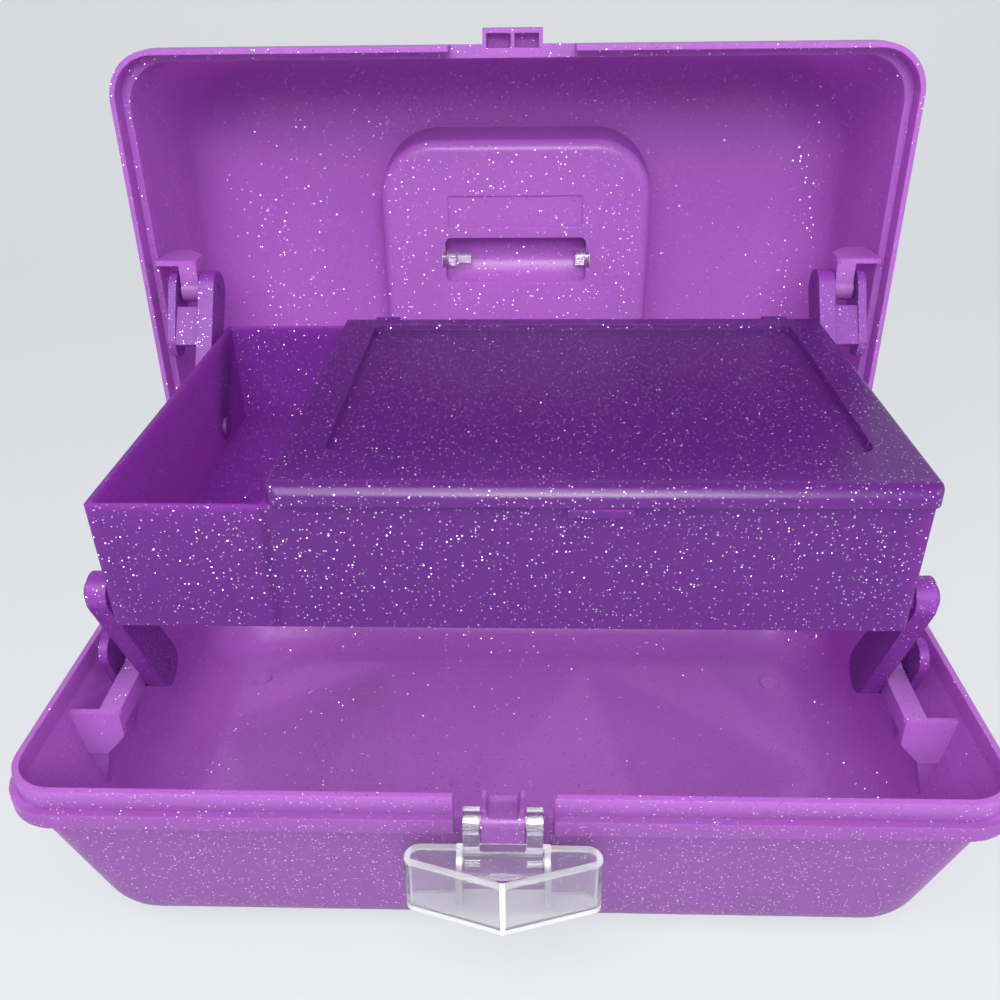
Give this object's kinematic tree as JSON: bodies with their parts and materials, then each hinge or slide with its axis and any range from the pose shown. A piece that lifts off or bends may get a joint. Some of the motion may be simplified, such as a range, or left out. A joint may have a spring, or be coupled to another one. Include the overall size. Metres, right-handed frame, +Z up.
{
  "type": "makeup case",
  "caption": "Hinged translucent makeup case standing open, with a covered tray that arms lift as the lid opens, a front lever latch and a folding handle in the lid.",
  "frame": {"origin": "centre of the base's flat underside", "axes": "+X along the case from the left end to the right end, +Y from the latch on the front to the hinges at the rear, +Z up from the underside; the case stands open"},
  "size_m": [0.33, 0.3158, 0.2829],
  "materials": {
    "case_plastic": "translucent purple with silver glitter",
    "tray_plastic": "translucent purple with silver glitter",
    "arm_plastic": "translucent purple with silver glitter",
    "pin_plastic": "purple",
    "clear_plastic": "clear",
    "hinge_steel": "plain drawn wire"
  },
  "bodies": {
    "base": {"base_tub": "case_plastic", "base_arm_pin_left": "pin_plastic", "base_arm_pin_right": "pin_plastic", "lid_hinge_pin_left": "hinge_steel", "lid_hinge_pin_right": "hinge_steel", "latch_pivot_pin": "clear_plastic"},
    "lid": {"lid_shell": "case_plastic", "lid_arm_pin_left": "pin_plastic", "lid_arm_pin_right": "pin_plastic"},
    "handle": {"handle": "clear_plastic"},
    "front_arms": {"front_arm_left": "arm_plastic", "front_arm_right": "arm_plastic"},
    "tray": {"tray_body": "tray_plastic", "tray_front_rivet_left": "pin_plastic", "tray_front_rivet_right": "pin_plastic", "tray_rear_rivet_left": "pin_plastic", "tray_rear_rivet_right": "pin_plastic", "cover_pin_left": "pin_plastic", "cover_pin_right": "pin_plastic"},
    "tray_cover": {"tray_cover": "tray_plastic"},
    "rear_arms": {"rear_arm_left": "arm_plastic", "rear_arm_right": "arm_plastic"},
    "latch_link": {"latch_link": "clear_plastic", "latch_lever_pins": "clear_plastic"},
    "latch_lever": {"latch_lever": "clear_plastic"}
  },
  "joints": [
    {"name": "lid_hinge", "type": "hinge", "parent": "base", "child": "lid", "pos_m": [0, 0.1054, 0.071], "axis": [-1, 0, 0], "range_deg": [-90, 0]},
    {"name": "front_arm_pivot", "type": "hinge", "parent": "base", "child": "front_arms", "pos_m": [0, -0.018, 0.066], "axis": [-1, 0, 0], "range_deg": [-90, 0]},
    {"name": "tray_pivot", "type": "hinge", "parent": "front_arms", "child": "tray", "pos_m": [0, -0.04797, 0.12096], "axis": [-1, 0, 0], "range_deg": [0, 90]},
    {"name": "rear_arm_pivot", "type": "hinge", "parent": "tray", "child": "rear_arms", "pos_m": [0, 0.07543, 0.12596], "axis": [-1, 0, 0], "range_deg": [-90, 0]},
    {"name": "tray_cover_hinge", "type": "hinge", "parent": "tray", "child": "tray_cover", "pos_m": [0, 0.10053, 0.16456], "axis": [-1, 0, 0], "range_deg": [0, 90]},
    {"name": "handle_fold", "type": "hinge", "parent": "lid", "child": "handle", "pos_m": [0, 0.1684, 0.1764], "axis": [1, 0, 0], "range_deg": [0, 90]},
    {"name": "latch_link_pivot", "type": "hinge", "parent": "base", "child": "latch_link", "pos_m": [0, -0.105, 0.0755], "axis": [-1, 0, 0], "range_deg": [0, 148]},
    {"name": "latch_lever_pivot", "type": "hinge", "parent": "latch_link", "child": "latch_lever", "pos_m": [0, -0.107, 0.06], "axis": [-1, 0, 0], "range_deg": [0, 45]}
  ],
  "couplings": [
    {"joint": "front_arm_pivot", "follows": "lid_hinge", "ratio": 1},
    {"joint": "tray_pivot", "follows": "lid_hinge", "ratio": -1},
    {"joint": "rear_arm_pivot", "follows": "lid_hinge", "ratio": 1}
  ]
}
